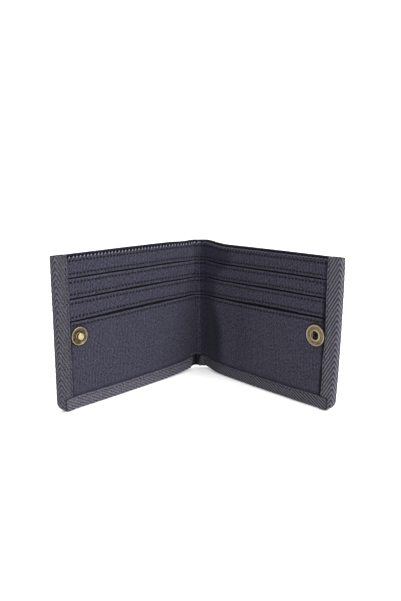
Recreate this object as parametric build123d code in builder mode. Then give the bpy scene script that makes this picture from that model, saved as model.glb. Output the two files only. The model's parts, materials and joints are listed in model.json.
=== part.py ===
from build123d import *
import math
import os

# Bifold wallet with card pockets, a bill compartment and a snap closure.
# It stands open on its lower edge: two halves joined by a narrow spine strip.
# +Z is up, the V opens towards -Y, the spine strip is at the back.
# The origin is the bottom centre of the whole object. Millimetres.

os.makedirs("parts", exist_ok=True)

# ---------------------------------------------------------------- dimensions
HALF_ANGLE = 47.0        # each half is turned this much from the spine strip's plane
HEIGHT = 90.0            # outer shell, top to bottom, tape included
EDGE_U = 111.3           # crease axis to the cut edge of the layers
CREASE_X = 5.0           # crease axes are this far either side of the middle

SHELL = (0.00, 0.70)     # each layer: distance in from the outer face, to distance in
INTERLINING = (0.70, 1.00)
LINING = (1.00, 1.20)    # behind it the bill compartment, 1.20 to 1.80
DIVIDER = (1.80, 2.10)
FACING = (2.10, 2.45)
UPPER = (2.45, 2.80)
MIDDLE = (2.80, 3.15)
LOWER = (3.15, 3.50)
PACK = 3.50              # all layers
TAPE = 0.55              # herringbone binding tape
TAPE_FRONT = 8.8        # how far the side tape reaches in from the outer edge
TAPE_BOTTOM = 7.8        # how far the bottom tape reaches up
CORNER_R = 6.0           # lower outer corner of the layers

INNER_TOP = 88.0         # top edge of the divider and of the facing
UPPER_TOP = 76.4         # pocket mouths
MIDDLE_TOP = 65.2
LOWER_TOP = 53.1
UPPER_LOW = 31.0         # where each hidden pocket ends
MIDDLE_LOW = 20.0
FACING_LOW = 69.0

SHELL_U = 1.5            # the outer layers start here, from the crease axis
INNER_U = 4.4            # the inner layers start here
TAPE_U = 4.8             # the bottom tape starts here
SPINE_SHELL_X = 4.6      # half width of the spine strip's outer layers
SPINE_INNER_X = 3.1
SPINE_TAPE_X = 2.6

SNAP_U = 96.5            # snap centre along the half
SNAP_Z = 43.6
SHANK_R = 1.80
SHANK_HOLE_R = 1.86
STUD_R = 5.40
SOCKET_R = 6.25

THREAD = 0.28            # topstitch thread
HEM = 1.9                # topstitch below a pocket's top edge
NEAR = 1.5               # second stitch row above a pocket mouth

# ---------------------------------------------------------------- frames
c, s = math.cos(math.radians(HALF_ANGLE)), math.sin(math.radians(HALF_ANGLE))
# crease axes from the origin along +Y, so that the origin is the middle of the depth
CREASE_Y = ((EDGE_U + TAPE) * s + (PACK + TAPE) * c - TAPE) / 2
along = Vector(-c, -s, 0)      # left half, from crease to outer edge
outward = Vector(-s, c, 0)     # left half, out of the V
crease = Vector(-CREASE_X, CREASE_Y, 0)
left_face = Plane(origin=crease, x_dir=along, z_dir=outward)      # local x along the half, local y up
spine_face = Plane(origin=(0, CREASE_Y, 0), x_dir=(-1, 0, 0), z_dir=(0, 1, 0))


def depth(n, base=left_face):
    """Plane at distance n in from the outer face."""
    return base.offset(-n)


def keep(builder, label):
    builder.part.label = label
    export_step(builder.part, f"parts/{label}.step")


def keep_both(builder, stem):
    """The left half's piece, and its mirror image in the right half."""
    keep(builder, stem + "_left")
    with BuildPart() as other:
        mirror(builder.part, about=Plane.YZ)
    keep(other, stem + "_right")


# ---------------------------------------------------------------- fabric layers of a half
with BuildPart() as shell:
    with BuildSketch(depth(SHELL[0])) as outline:
        with Locations((SHELL_U, TAPE)):
            Rectangle(EDGE_U - SHELL_U, HEIGHT - TAPE, align=(Align.MIN, Align.MIN))
        fillet(outline.vertices().group_by(Axis.Z)[0].sort_by(Axis.X)[0], CORNER_R)
    extrude(amount=-(SHELL[1] - SHELL[0]))
keep_both(shell, "outer_shell")

with BuildPart() as interlining:
    with BuildSketch(depth(INTERLINING[0])) as outline:
        with Locations((SHELL_U, TAPE)):
            Rectangle(EDGE_U - SHELL_U, HEIGHT - TAPE - 1.0, align=(Align.MIN, Align.MIN))
        fillet(outline.vertices().group_by(Axis.Z)[0].sort_by(Axis.X)[0], CORNER_R)
    extrude(amount=-(INTERLINING[1] - INTERLINING[0]))
keep_both(interlining, "shell_interlining")

with BuildPart() as lining:
    with BuildSketch(depth(LINING[0])) as outline:
        with Locations((SHELL_U, TAPE)):
            Rectangle(EDGE_U - SHELL_U, HEIGHT - TAPE - 0.3, align=(Align.MIN, Align.MIN))
        fillet(outline.vertices().group_by(Axis.Z)[0].sort_by(Axis.X)[0], CORNER_R)
    extrude(amount=-(LINING[1] - LINING[0]))
keep_both(lining, "bill_lining")

with BuildPart() as divider:
    with BuildSketch(depth(DIVIDER[0])) as outline:
        with Locations((INNER_U, TAPE)):
            Rectangle(EDGE_U - INNER_U, INNER_TOP - TAPE, align=(Align.MIN, Align.MIN))
        fillet(outline.vertices().group_by(Axis.Z)[0].sort_by(Axis.X)[0], CORNER_R)
        with Locations((SNAP_U, SNAP_Z)):
            Circle(SHANK_HOLE_R, mode=Mode.SUBTRACT)
    extrude(amount=-(DIVIDER[1] - DIVIDER[0]))
keep_both(divider, "divider")

with BuildPart() as facing:
    with BuildSketch(depth(FACING[0])):
        with Locations((INNER_U, FACING_LOW)):
            Rectangle(EDGE_U - INNER_U, INNER_TOP - FACING_LOW, align=(Align.MIN, Align.MIN))
    extrude(amount=-(FACING[1] - FACING[0]))
keep_both(facing, "top_facing")

with BuildPart() as upper:
    with BuildSketch(depth(UPPER[0])):
        with Locations((INNER_U, UPPER_LOW)):
            Rectangle(EDGE_U - INNER_U, UPPER_TOP - UPPER_LOW, align=(Align.MIN, Align.MIN))
        with Locations((SNAP_U, SNAP_Z)):
            Circle(SHANK_HOLE_R, mode=Mode.SUBTRACT)
    extrude(amount=-(UPPER[1] - UPPER[0]))
keep_both(upper, "card_pocket_upper")

with BuildPart() as middle:
    with BuildSketch(depth(MIDDLE[0])):
        with Locations((INNER_U, MIDDLE_LOW)):
            Rectangle(EDGE_U - INNER_U, MIDDLE_TOP - MIDDLE_LOW, align=(Align.MIN, Align.MIN))
        with Locations((SNAP_U, SNAP_Z)):
            Circle(SHANK_HOLE_R, mode=Mode.SUBTRACT)
    extrude(amount=-(MIDDLE[1] - MIDDLE[0]))
keep_both(middle, "card_pocket_middle")

with BuildPart() as lower:
    with BuildSketch(depth(LOWER[0])) as outline:
        with Locations((INNER_U, TAPE)):
            Rectangle(EDGE_U - INNER_U, LOWER_TOP - TAPE, align=(Align.MIN, Align.MIN))
        fillet(outline.vertices().group_by(Axis.Z)[0].sort_by(Axis.X)[0], CORNER_R)
        with Locations((SNAP_U, SNAP_Z)):
            Circle(SHANK_HOLE_R, mode=Mode.SUBTRACT)
    extrude(amount=-(LOWER[1] - LOWER[0]))
keep_both(lower, "card_pocket_lower")

# ---------------------------------------------------------------- binding tape of a half
TAPE_EDGE = EDGE_U + TAPE

with BuildPart() as side_tape:
    with BuildSketch(depth(-TAPE)) as outline:
        with Locations((TAPE_EDGE, 0)):
            Rectangle(TAPE_FRONT, HEIGHT, align=(Align.MAX, Align.MIN))
        fillet(outline.vertices().group_by(Axis.Z)[0].sort_by(Axis.X)[0], CORNER_R + TAPE)
    extrude(amount=-(PACK + 2 * TAPE))
    with BuildSketch(depth(0)) as inside:
        with Locations((EDGE_U, TAPE)):
            Rectangle(2 * TAPE_FRONT, HEIGHT, align=(Align.MAX, Align.MIN))
        fillet(inside.vertices().group_by(Axis.Z)[0].sort_by(Axis.X)[0], CORNER_R)
    extrude(amount=-PACK, mode=Mode.SUBTRACT)
keep_both(side_tape, "side_binding")

LAP_U = 109.3            # where the bottom tape's turned end stops
with BuildPart() as bottom_tape:
    with BuildSketch(depth(-TAPE)):
        with Locations((TAPE_U, 0)):
            Rectangle(TAPE_EDGE - TAPE_FRONT - TAPE_U, TAPE_BOTTOM, align=(Align.MIN, Align.MIN))
    extrude(amount=-(PACK + 2 * TAPE))
    with BuildSketch(depth(0)):
        with Locations((0, TAPE)):
            Rectangle(TAPE_EDGE, TAPE_BOTTOM, align=(Align.MIN, Align.MIN))
    extrude(amount=-PACK, mode=Mode.SUBTRACT)
    # the turned end laps over the side tape, front and back
    for start in (PACK + TAPE, -2 * TAPE):
        with BuildSketch(depth(start)) as lap:
            with Locations((TAPE_EDGE - TAPE_FRONT - 2.0, 0)):
                Rectangle(LAP_U - (TAPE_EDGE - TAPE_FRONT - 2.0), TAPE_BOTTOM, align=(Align.MIN, Align.MIN))
            fillet(lap.vertices().group_by(Axis.Z)[0].sort_by(Axis.X)[0], 4.0)
        extrude(amount=-TAPE)
keep_both(bottom_tape, "bottom_binding")

# ---------------------------------------------------------------- topstitching of a half
front_rows = (
    (INNER_TOP - HEM, FACING[1]),
    (UPPER_TOP + NEAR, FACING[1]),
    (UPPER_TOP - HEM, UPPER[1]),
    (MIDDLE_TOP + NEAR, UPPER[1]),
    (MIDDLE_TOP - HEM, MIDDLE[1]),
    (LOWER_TOP + NEAR, MIDDLE[1]),
    (LOWER_TOP - HEM, LOWER[1]),
)
with BuildPart() as pocket_threads:
    for z, n in front_rows:
        with BuildSketch(depth(n)):
            with Locations((INNER_U + 0.6, z)):
                Rectangle(TAPE_EDGE - TAPE_FRONT - INNER_U - 1.0, THREAD, align=(Align.MIN, Align.CENTER))
        extrude(amount=-THREAD * 0.7)
keep_both(pocket_threads, "pocket_topstitching")

TAPE_ROW = 1.5           # stitch row in from the tape's free edge
with BuildPart() as tape_threads:
    for n, way in ((PACK + TAPE, -1), (-TAPE, 1)):
        with BuildSketch(depth(n)):
            with Locations((TAPE_EDGE - TAPE_FRONT + TAPE_ROW, TAPE_BOTTOM + 0.6)):
                Rectangle(THREAD, HEIGHT - TAPE_BOTTOM - 2.0, align=(Align.CENTER, Align.MIN))
            with Locations((TAPE_U + 0.6, TAPE_BOTTOM - TAPE_ROW)):
                Rectangle(TAPE_EDGE - TAPE_FRONT - 2.6 - TAPE_U - 0.6, THREAD, align=(Align.MIN, Align.CENTER))
        extrude(amount=way * THREAD * 0.7)
keep_both(tape_threads, "binding_stitching")

# ---------------------------------------------------------------- snap, stud side in the left half
stud_centre = crease + along * SNAP_U - outward * PACK + Vector(0, 0, SNAP_Z)
stud_plane = Plane(origin=stud_centre, x_dir=along, z_dir=(0, 0, 1))     # local x radial, local y out of the pocket face
stud_axis = Axis(stud_centre, -outward)
BACK = -(PACK - DIVIDER[0])      # back face of the divider, from the pocket face

with BuildPart() as snap_stud:
    with BuildSketch(stud_plane):
        with BuildLine():
            Polyline((1.25, 0.0), (STUD_R, 0.0), (STUD_R, 0.75))
            ThreePointArc((STUD_R, 0.75), (5.10, 1.15), (4.70, 0.85))
            Polyline((4.70, 0.85), (4.40, 0.42), (3.10, 0.22), (2.30, 0.30))
            ThreePointArc((2.30, 0.30), (1.95, 0.45), (1.80, 0.80))
            Polyline((1.80, 0.80), (1.72, 1.55), (1.72, 2.00), (2.02, 2.22))
            ThreePointArc((2.02, 2.22), (1.92, 2.45), (1.62, 2.55))
            Polyline((1.62, 2.55), (0.0, 2.55), (0.0, 2.05), (1.25, 2.05), (1.25, 0.0))
        make_face()
    revolve(axis=stud_axis)
keep(snap_stud, "snap_stud")

with BuildPart() as stud_rivet:
    with BuildSketch(stud_plane):
        with BuildLine():
            Polyline((0.0, BACK - 0.25), (3.20, BACK - 0.25), (3.20, BACK), (SHANK_R, BACK),
                     (SHANK_R, -0.02), (1.20, -0.02), (1.20, 1.95), (0.0, 1.95), (0.0, BACK - 0.25))
        make_face()
    revolve(axis=stud_axis)
keep(stud_rivet, "snap_stud_rivet")

# ---------------------------------------------------------------- snap, socket side in the right half
socket_centre = Vector(-stud_centre.X, stud_centre.Y, stud_centre.Z)
right_along = Vector(c, -s, 0)
right_inward = Vector(-s, -c, 0)
socket_plane = Plane(origin=socket_centre, x_dir=right_along, z_dir=(0, 0, -1))
socket_axis = Axis(socket_centre, right_inward)

with BuildPart() as snap_socket:
    with BuildSketch(socket_plane):
        with BuildLine():
            Polyline((SOCKET_R - 0.35, 0.0), (SOCKET_R, 0.0), (SOCKET_R, 1.35))
            ThreePointArc((SOCKET_R, 1.35), (6.08, 1.70), (5.70, 1.72))
            Polyline((5.70, 1.72), (5.40, 1.60), (3.40, 1.60), (3.15, 1.74))
            ThreePointArc((3.15, 1.74), (2.78, 1.82), (2.60, 1.50))
            Polyline((2.60, 1.50), (2.60, 1.25), (2.95, 1.25), (SOCKET_R - 0.35, 1.25), (SOCKET_R - 0.35, 0.0))
        make_face()
    revolve(axis=socket_axis)
keep(snap_socket, "snap_socket")

with BuildPart() as socket_eyelet:
    with BuildSketch(socket_plane):
        with BuildLine():
            Polyline((1.50, BACK - 0.25), (3.20, BACK - 0.25), (3.20, BACK), (SHANK_R, BACK),
                     (SHANK_R, 0.0), (2.20, 0.0), (2.20, 0.20), (1.50, 0.20), (1.50, BACK - 0.25))
        make_face()
    revolve(axis=socket_axis)
keep(socket_eyelet, "snap_socket_eyelet")

# two straight spring wires grip the stud's neck
WIRE_R = 0.20
WIRE_X = 1.72 + 0.11 + WIRE_R
with BuildPart() as snap_spring:
    for side in (-1, 1):
        foot = socket_centre + right_along * (side * WIRE_X) + right_inward * 1.04 - Vector(0, 0, 4.6)
        with BuildSketch(Plane(origin=foot, x_dir=right_along, z_dir=(0, 0, 1))):
            Circle(WIRE_R)
        extrude(amount=9.2)
keep(snap_spring, "snap_spring")

# ---------------------------------------------------------------- spine strip
for label, (n0, n1), half, low, top in (
    ("outer_shell_spine", SHELL, SPINE_SHELL_X, TAPE, HEIGHT),
    ("shell_interlining_spine", INTERLINING, SPINE_SHELL_X, TAPE, HEIGHT - 1.0),
    ("bill_lining_spine", LINING, SPINE_SHELL_X, TAPE, HEIGHT - 0.3),
    ("divider_spine", DIVIDER, SPINE_INNER_X, TAPE, INNER_TOP),
    ("top_facing_spine", FACING, SPINE_INNER_X, FACING_LOW, INNER_TOP),
    ("card_pocket_upper_spine", UPPER, SPINE_INNER_X, UPPER_LOW, UPPER_TOP),
    ("card_pocket_middle_spine", MIDDLE, SPINE_INNER_X, MIDDLE_LOW, MIDDLE_TOP),
    ("card_pocket_lower_spine", LOWER, SPINE_INNER_X, TAPE, LOWER_TOP),
):
    with BuildPart() as strip:
        with BuildSketch(depth(n0, spine_face)):
            with Locations((0, low)):
                Rectangle(2 * half, top - low, align=(Align.CENTER, Align.MIN))
        extrude(amount=-(n1 - n0))
    keep(strip, label)

with BuildPart() as spine_tape:
    with BuildSketch(depth(-TAPE, spine_face)):
        Rectangle(2 * SPINE_TAPE_X, TAPE_BOTTOM, align=(Align.CENTER, Align.MIN))
    extrude(amount=-(PACK + 2 * TAPE))
    with BuildSketch(depth(0, spine_face)):
        with Locations((0, TAPE)):
            Rectangle(4 * SPINE_TAPE_X, TAPE_BOTTOM, align=(Align.CENTER, Align.MIN))
    extrude(amount=-PACK, mode=Mode.SUBTRACT)
keep(spine_tape, "bottom_binding_spine")

# seam up the fold and the bar tack above the tape
with BuildPart() as spine_threads:
    with BuildSketch(depth(LOWER[1], spine_face)):
        with Locations((2.2, TAPE_BOTTOM + 3.0)):
            Rectangle(THREAD, LOWER_TOP - TAPE_BOTTOM - 4.0, align=(Align.CENTER, Align.MIN))
    extrude(amount=-THREAD * 0.7)
    with BuildSketch(depth(LOWER[1], spine_face)):
        with Locations((0, TAPE_BOTTOM + 1.4)):
            Rectangle(5.6, THREAD, align=(Align.CENTER, Align.CENTER))
    extrude(amount=-THREAD * 0.7)
keep(spine_threads, "spine_stitching")
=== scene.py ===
import bpy
import bmesh
import json
import math
import numpy as np
from mathutils import Matrix, Vector

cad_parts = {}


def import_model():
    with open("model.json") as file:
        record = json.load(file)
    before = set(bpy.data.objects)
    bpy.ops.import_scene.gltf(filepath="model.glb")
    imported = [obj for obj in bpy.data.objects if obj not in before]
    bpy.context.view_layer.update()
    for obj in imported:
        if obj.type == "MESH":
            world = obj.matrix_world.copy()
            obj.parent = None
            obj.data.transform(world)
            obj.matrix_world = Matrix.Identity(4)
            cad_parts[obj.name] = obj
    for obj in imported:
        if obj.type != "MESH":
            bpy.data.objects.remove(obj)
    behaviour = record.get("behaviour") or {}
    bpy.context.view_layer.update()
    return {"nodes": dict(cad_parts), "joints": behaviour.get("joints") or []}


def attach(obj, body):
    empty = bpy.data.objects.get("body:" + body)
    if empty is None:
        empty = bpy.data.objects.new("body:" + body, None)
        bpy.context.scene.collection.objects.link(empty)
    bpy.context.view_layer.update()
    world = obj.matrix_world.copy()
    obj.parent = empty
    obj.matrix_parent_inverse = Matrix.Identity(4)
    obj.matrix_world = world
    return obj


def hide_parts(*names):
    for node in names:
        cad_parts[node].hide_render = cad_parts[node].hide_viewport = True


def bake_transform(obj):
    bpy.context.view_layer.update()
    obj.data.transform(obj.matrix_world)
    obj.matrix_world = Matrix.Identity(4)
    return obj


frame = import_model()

MM = 0.001

# ------------------------------------------------------------------ frame of the wallet, in mm
joints = {j["name"]: j for j in frame["joints"]}
_pivot = [1000.0 * float(x) for x in joints["right_fold"]["pos_m"]]
CX, CY = abs(_pivot[0]), _pivot[1]
PHI = math.radians(47.0)
C, S = math.cos(PHI), math.sin(PHI)
H = 90.0
EDGE_U, TAPE = 111.3, 0.55
OUT_U = EDGE_U + TAPE
TAPE_FRONT, TAPE_BOTTOM = 8.8, 7.8
SNAP_U, SNAP_Z = 96.5, 43.6
NC = 4.9                                  # depth of the centre that the crease bends round
T = NC * math.tan(PHI / 2)                # tangent points, from the crease axis
ARC = (NC - 2.0) * PHI                    # length given to the bend
QA = CX - T                               # flat half width of the spine strip
QH = QA + ARC                             # the half is straight from here
rng = np.random.default_rng(20)


def q_of_u(u):
    return u - T + QH


def u_of_q(q):
    return q - QH + T


def path(side, q, n):
    """Plan position and inward normal at distance q from the middle of the spine, at depth n."""
    q = np.asarray(q, float)
    n = np.asarray(n, float)
    q, n = np.broadcast_arrays(q, n)
    th = np.clip((q - QA) / ARC, 0, 1) * PHI
    cx, cy = QA, CY - NC
    bx = cx + (NC - n) * np.sin(th)
    by = cy + (NC - n) * np.cos(th)
    flat = q < QA
    bx = np.where(flat, q, bx)
    far = np.maximum(q - QH, 0)
    bx = bx + far * C
    by = by - far * S
    return side * bx, by


def place(side, q, z, n):
    x, y = path(side, q, n)
    return np.stack([x, y, np.broadcast_to(z, x.shape)], -1) * MM


def step(a, b, x):
    t = np.clip((np.asarray(x, float) - a) / (b - a), 0, 1)
    return t * t * (3 - 2 * t)


def bump(x, c, w):
    return np.exp(-(((np.asarray(x, float) - c) / w) ** 2))


_ph = rng.uniform(0, 2 * math.pi, (40, 5))


def wob(seed, x, scale):
    """A smooth wandering line, about -1 to 1."""
    p = _ph[seed % 40]
    x = np.asarray(x, float) / scale
    return (np.sin(x * 1.0 + p[0]) + 0.6 * np.sin(x * 2.3 + p[1]) + 0.4 * np.sin(x * 4.1 + p[2])) / 2.0


# ------------------------------------------------------------------ how the cloth sits
def swell(side, q, z):
    """How far the pocket stack stands proud of its flat place, into the V."""
    q = np.asarray(q, float)
    u = u_of_q(q)
    z = np.asarray(z, float)
    if side > 0:
        rise = step(1.5, 15.5, u)
        fall = 1 - step(20, 88, u)
        body = 2.5 * rise * (0.55 + 0.45 * fall) + 0.32 * step(36, 48, u) - 0.5 * step(52, 98, u)
        low = 0.42 + 0.58 * bump(z, 30, 26)
        tail = 1 - step(84, 101, u)
        b = body * low * tail
    else:
        rise = step(1.5, 16, u)
        tail = 1 - step(70, 101, u)
        b = 0.9 * rise * tail * (0.4 + 0.6 * bump(z, 28, 30))
    return b


def tuck(side, q, z):
    """The tape and the cloth behind it are pinched back at the spine, low down. 0 to 1."""
    s = side * np.asarray(q, float)
    z = np.asarray(z, float)
    low = 1 - step(7.4, 11.0, z)
    wide = step(-8.8, -7.2, s) * (1 - step(-1.6, 0.8, s))
    line = 0.20 * bump(s, -3.6, 1.0)
    right = 0.22 * bump(s, 4.3, 0.9)
    return np.clip(wide * low + line * (1 - low) + right * (0.8 * low + 0.2 * (1 - low)), 0, 1)


def inner(side, q, z, n, amount=1.0):
    """Depth of a pocket layer once the swell and the pinch are on it."""
    n = n + swell(side, q, z) * amount
    return n * (1 - 0.52 * tuck(side, q, z))


def settle(side, q, z):
    """Height of a point once the cloth has settled: the lower edge is drawn up at the spine."""
    u = u_of_q(np.asarray(q, float))
    z = np.asarray(z, float)
    up = 1.75 * np.exp(-(np.maximum(u, 0) / (20.0 if side < 0 else 13.0)) ** 2) * (1 - step(8, 46, z))
    end = (1.15 if side < 0 else -0.85) * step(55, 90, z) * step(2, 22, u)
    peak = 1.0 * step(60, 90, z) * np.exp(-(np.maximum(u, 0) / 9.0) ** 2)
    droop = (-0.95 if side < 0 else 0.65) * bump(z, 50, 15) * step(20, 104, u)
    return z + up + end + peak + droop


def draw_in(side, u, z):
    """The free end of each half is drawn in a little, the right one low down, the left one high up."""
    u = np.asarray(u, float)
    z = np.asarray(z, float)
    if side > 0:
        d = 2.6 * (1 - np.clip(z / 90, 0, 1)) ** 2 + 0.25
    else:
        d = 1.5 * np.clip(z / 90, 0, 1)
    return u - d * step(62.0, 112.0, u)


def bow(q, z):
    """The outer shell leans back a little towards its top, so the bill compartment stands open."""
    u = u_of_q(np.asarray(q, float))
    along = np.sin(np.clip((u - 0) / 104.0, 0, 1) * math.pi) ** 0.8
    along = np.where(u < 0, 0.0, along)
    return 1.15 * along * np.clip(np.asarray(z, float) / H, 0, 1) ** 2.2


# ------------------------------------------------------------------ mesh making
def finish_mesh(name, verts, faces, cloth=None, shade=None, sharp=50.0):
    me = bpy.data.meshes.new(name)
    me.from_pydata([tuple(v) for v in np.asarray(verts).reshape(-1, 3)], [], faces)
    me.validate()
    n = len(me.vertices)
    if cloth is not None:
        at = me.attributes.new("cloth", "FLOAT_VECTOR", "POINT")
        at.data.foreach_set("vector", np.asarray(cloth, np.float32).reshape(-1)[: 3 * n])
    at = me.attributes.new("shade", "FLOAT", "POINT")
    sh = np.zeros(n) if shade is None else np.asarray(shade, float).reshape(-1)
    at.data.foreach_set("value", sh.astype(np.float32))
    bm = bmesh.new()
    bm.from_mesh(me)
    bmesh.ops.recalc_face_normals(bm, faces=bm.faces)
    lim = math.radians(sharp)
    for e in bm.edges:
        e.smooth = len(e.link_faces) == 2 and e.calc_face_angle(0.0) < lim
    for f in bm.faces:
        f.smooth = True
    bm.to_mesh(me)
    bm.free()
    ob = bpy.data.objects.new(name, me)
    bpy.context.scene.collection.objects.link(ob)
    return ob


def loop_faces(ns, npts, caps=True, offset=0):
    faces = []
    for i in range(ns - 1):
        a = offset + i * npts
        b = a + npts
        for j in range(npts):
            k = (j + 1) % npts
            faces.append((a + j, a + k, b + k, b + j))
    if caps:
        faces.append(tuple(offset + j for j in reversed(range(npts))))
        faces.append(tuple(offset + (ns - 1) * npts + j for j in range(npts)))
    return faces


def stations(q_end, fine=0.3, coarse=1.6, q_start=0.0):
    """Stations along a half: close together at the crease, further apart on the panel."""
    a = np.arange(q_start, QH + 3.0, fine)
    b = np.linspace(a[-1] + fine, q_end, max(2, int(round((q_end - a[-1] - fine) / coarse)) + 1))
    return np.concatenate([a, b])


# ------------------------------------------------------------------ materials
class Nodes:
    """Short-hand for building a node tree."""

    def __init__(self, name):
        self.m = bpy.data.materials.new(name)
        self.m.use_nodes = True
        self.t = self.m.node_tree
        self.t.nodes.clear()
        self.out = self.t.nodes.new("ShaderNodeOutputMaterial")
        self.p = self.t.nodes.new("ShaderNodeBsdfPrincipled")
        self.t.links.new(self.p.outputs[0], self.out.inputs[0])

    def link(self, a, b):
        self.t.links.new(a, b)

    def node(self, kind, **kw):
        n = self.t.nodes.new(kind)
        for k, v in kw.items():
            setattr(n, k, v)
        return n

    def put(self, sock, v):
        if hasattr(v, "links") or isinstance(v, bpy.types.NodeSocket):
            self.t.links.new(v, sock)
        else:
            sock.default_value = v

    def math(self, op, a, b=None, c=None, clamp=False):
        n = self.node("ShaderNodeMath", operation=op, use_clamp=clamp)
        self.put(n.inputs[0], a)
        if b is not None:
            self.put(n.inputs[1], b)
        if c is not None:
            self.put(n.inputs[2], c)
        return n.outputs[0]

    def attr(self, name):
        return self.node("ShaderNodeAttribute", attribute_type="GEOMETRY", attribute_name=name)

    def sep(self, v):
        n = self.node("ShaderNodeSeparateXYZ")
        self.link(v, n.inputs[0])
        return n.outputs[0], n.outputs[1], n.outputs[2]

    def comb(self, x, y, z=0.0):
        n = self.node("ShaderNodeCombineXYZ")
        for i, v in enumerate((x, y, z)):
            self.put(n.inputs[i], v)
        return n.outputs[0]

    def noise(self, vec, scale, detail=2.0, rough=0.5, dist=0.0):
        n = self.node("ShaderNodeTexNoise")
        n.noise_dimensions = "3D"
        self.link(vec, n.inputs["Vector"])
        n.inputs["Scale"].default_value = scale
        n.inputs["Detail"].default_value = detail
        n.inputs["Roughness"].default_value = rough
        n.inputs["Distortion"].default_value = dist
        return n.outputs["Fac"]

    def maprange(self, v, a, b, c, d, smooth=False):
        n = self.node("ShaderNodeMapRange", interpolation_type="SMOOTHSTEP" if smooth else "LINEAR")
        self.put(n.inputs[0], v)
        for i, x in enumerate((a, b, c, d)):
            self.put(n.inputs[1 + i], x)
        return n.outputs[0]

    def mix(self, f, a, b, blend="MIX"):
        n = self.node("ShaderNodeMix", data_type="RGBA", blend_type=blend)
        self.put(n.inputs[0], f)
        self.put(n.inputs[6], a)
        self.put(n.inputs[7], b)
        return n.outputs[2]

    def scale_color(self, col, f):
        n = self.node("ShaderNodeMix", data_type="RGBA", blend_type="MULTIPLY")
        n.inputs[0].default_value = 1.0
        self.put(n.inputs[6], col)
        g = self.node("ShaderNodeCombineColor")
        for i in range(3):
            self.put(g.inputs[i], f)
        self.link(g.outputs[0], n.inputs[7])
        return n.outputs[2]

    def bump(self, h, strength, distance):
        n = self.node("ShaderNodeBump")
        n.inputs["Strength"].default_value = strength
        n.inputs["Distance"].default_value = distance
        self.link(h, n.inputs["Height"])
        self.link(n.outputs[0], self.p.inputs["Normal"])
        return n


def srgb(r, g, b):
    def f(v):
        v = v / 255.0
        return v / 12.92 if v <= 0.04045 else ((v + 0.055) / 1.055) ** 2.4
    return (f(r), f(g), f(b), 1.0)


TAU = 2 * math.pi


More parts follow.
